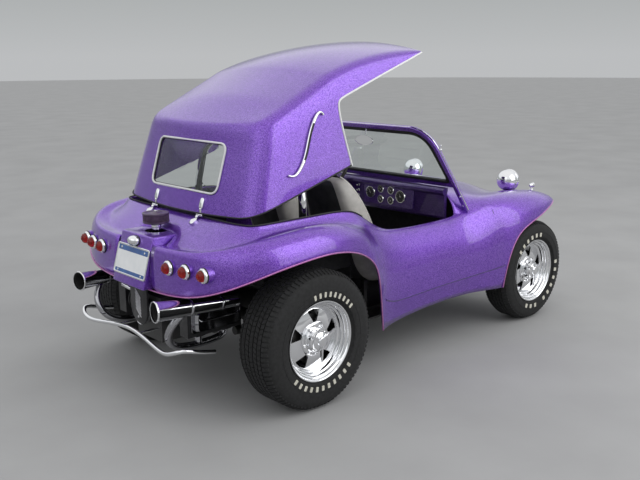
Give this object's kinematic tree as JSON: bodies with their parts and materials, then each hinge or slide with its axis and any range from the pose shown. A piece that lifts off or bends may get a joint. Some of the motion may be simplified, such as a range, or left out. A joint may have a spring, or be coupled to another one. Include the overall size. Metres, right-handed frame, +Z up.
{
  "type": "dune buggy with a lift-up hardtop",
  "caption": "Open fibreglass dune buggy on a shortened pan, rear air-cooled engine, chrome exhausts and a rear-hinged hardtop held open.",
  "frame": {"origin": "ground point below the middle of the whole car's box", "axes": "+X forward, +Y to the car's left, +Z up"},
  "size_m": [3.15, 1.67, 1.7986],
  "materials": {
    "paint": "metal-flake gloss",
    "dash_paint": "satin",
    "black_liner": "matte",
    "chassis_black": "satin",
    "engine_black": "satin",
    "cast_alloy": "cast",
    "bright_alloy": "polished",
    "chrome": "polished",
    "filter_plum": "satin",
    "glass": "clear",
    "red_lens": "gloss",
    "seat_vinyl": "satin",
    "wheel_leather": "satin",
    "plate_white": "gloss",
    "tyre_rubber": "matte"
  },
  "bodies": {
    "chassis": {"rear_quarter_left": "paint", "rear_quarter_right": "paint", "side_panel_left": "paint", "side_panel_right": "paint", "front_quarter_left": "paint", "front_quarter_right": "paint", "plate_housing": "paint", "screen_frame": "paint", "inner_body": "black_liner", "floor_pan": "chassis_black", "front_axle": "chassis_black", "rear_axle": "chassis_black", "engine_case": "cast_alloy", "cylinders": "engine_black", "valve_covers": "chrome", "fan_shroud": "engine_black", "belt_guard": "bright_alloy", "air_cleaner": "filter_plum", "headers": "chrome", "megaphones": "chrome", "rear_bumper": "chrome", "front_bumper": "chrome", "screen_glass": "glass", "hinge_deck_leaves": "chrome", "seat_left": "seat_vinyl", "seat_right": "seat_vinyl", "roll_bar": "chrome", "dashboard": "dash_paint", "headlamps": "chrome", "indicators": "chrome", "tail_lamps": "red_lens", "number_plate": "plate_white", "plate_lamp": "chrome", "mirror": "chrome"},
    "hardtop": {"hardtop_shell": "paint", "rear_window": "glass", "hinge_top_leaves": "chrome", "landau_bars": "chrome"},
    "steer_left": {"knuckle_left": "chassis_black"},
    "steer_right": {"knuckle_right": "chassis_black"},
    "track": {"track_rod": "chassis_black"},
    "hand_wheel": {"steering_wheel": "wheel_leather"},
    "wheel_front_left": {"tyre_front_left": "tyre_rubber", "rim_front_left": "chrome"},
    "wheel_front_right": {"tyre_front_right": "tyre_rubber", "rim_front_right": "chrome"},
    "wheel_rear_left": {"tyre_rear_left": "tyre_rubber", "rim_rear_left": "chrome"},
    "wheel_rear_right": {"tyre_rear_right": "tyre_rubber", "rim_rear_right": "chrome"}
  },
  "joints": [
    {"name": "top_hinge", "type": "hinge", "parent": "chassis", "child": "hardtop", "pos_m": [-1.159, 0, 0.952], "axis": [0, -1, 0], "range_deg": [-18, 0]},
    {"name": "steer_left_turn", "type": "hinge", "parent": "chassis", "child": "steer_left", "pos_m": [1.145, 0.525, 0.334], "axis": [0, 0, 1], "range_deg": [-28, 28]},
    {"name": "steer_right_turn", "type": "hinge", "parent": "chassis", "child": "steer_right", "pos_m": [1.145, -0.525, 0.334], "axis": [0, 0, 1], "range_deg": [-28, 28]},
    {"name": "track_rod_shift", "type": "slide", "parent": "chassis", "child": "track", "axis": [0, 1, 0], "range_m": [-0.058, 0.058]},
    {"name": "hand_wheel_turn", "type": "hinge", "parent": "chassis", "child": "hand_wheel", "pos_m": [0.233, 0.33, 1], "axis": [-0.788, 0, 0.6157], "range_deg": [-392, 392]},
    {"name": "wheel_front_left_spin", "type": "hinge", "parent": "steer_left", "child": "wheel_front_left", "pos_m": [1.145, 0.64, 0.334], "axis": [0, 1, 0], "continuous": true},
    {"name": "wheel_front_right_spin", "type": "hinge", "parent": "steer_right", "child": "wheel_front_right", "pos_m": [1.145, -0.64, 0.334], "axis": [0, 1, 0], "continuous": true},
    {"name": "wheel_rear_left_spin", "type": "hinge", "parent": "chassis", "child": "wheel_rear_left", "pos_m": [-0.887, 0.71, 0.36], "axis": [0, 1, 0], "continuous": true},
    {"name": "wheel_rear_right_spin", "type": "hinge", "parent": "chassis", "child": "wheel_rear_right", "pos_m": [-0.887, -0.71, 0.36], "axis": [0, 1, 0], "continuous": true}
  ],
  "couplings": [
    {"joint": "steer_right_turn", "follows": "steer_left_turn", "ratio": 1},
    {"joint": "track_rod_shift", "follows": "steer_left_turn", "m_per_rad": -0.118},
    {"joint": "hand_wheel_turn", "follows": "steer_left_turn", "ratio": 14}
  ]
}
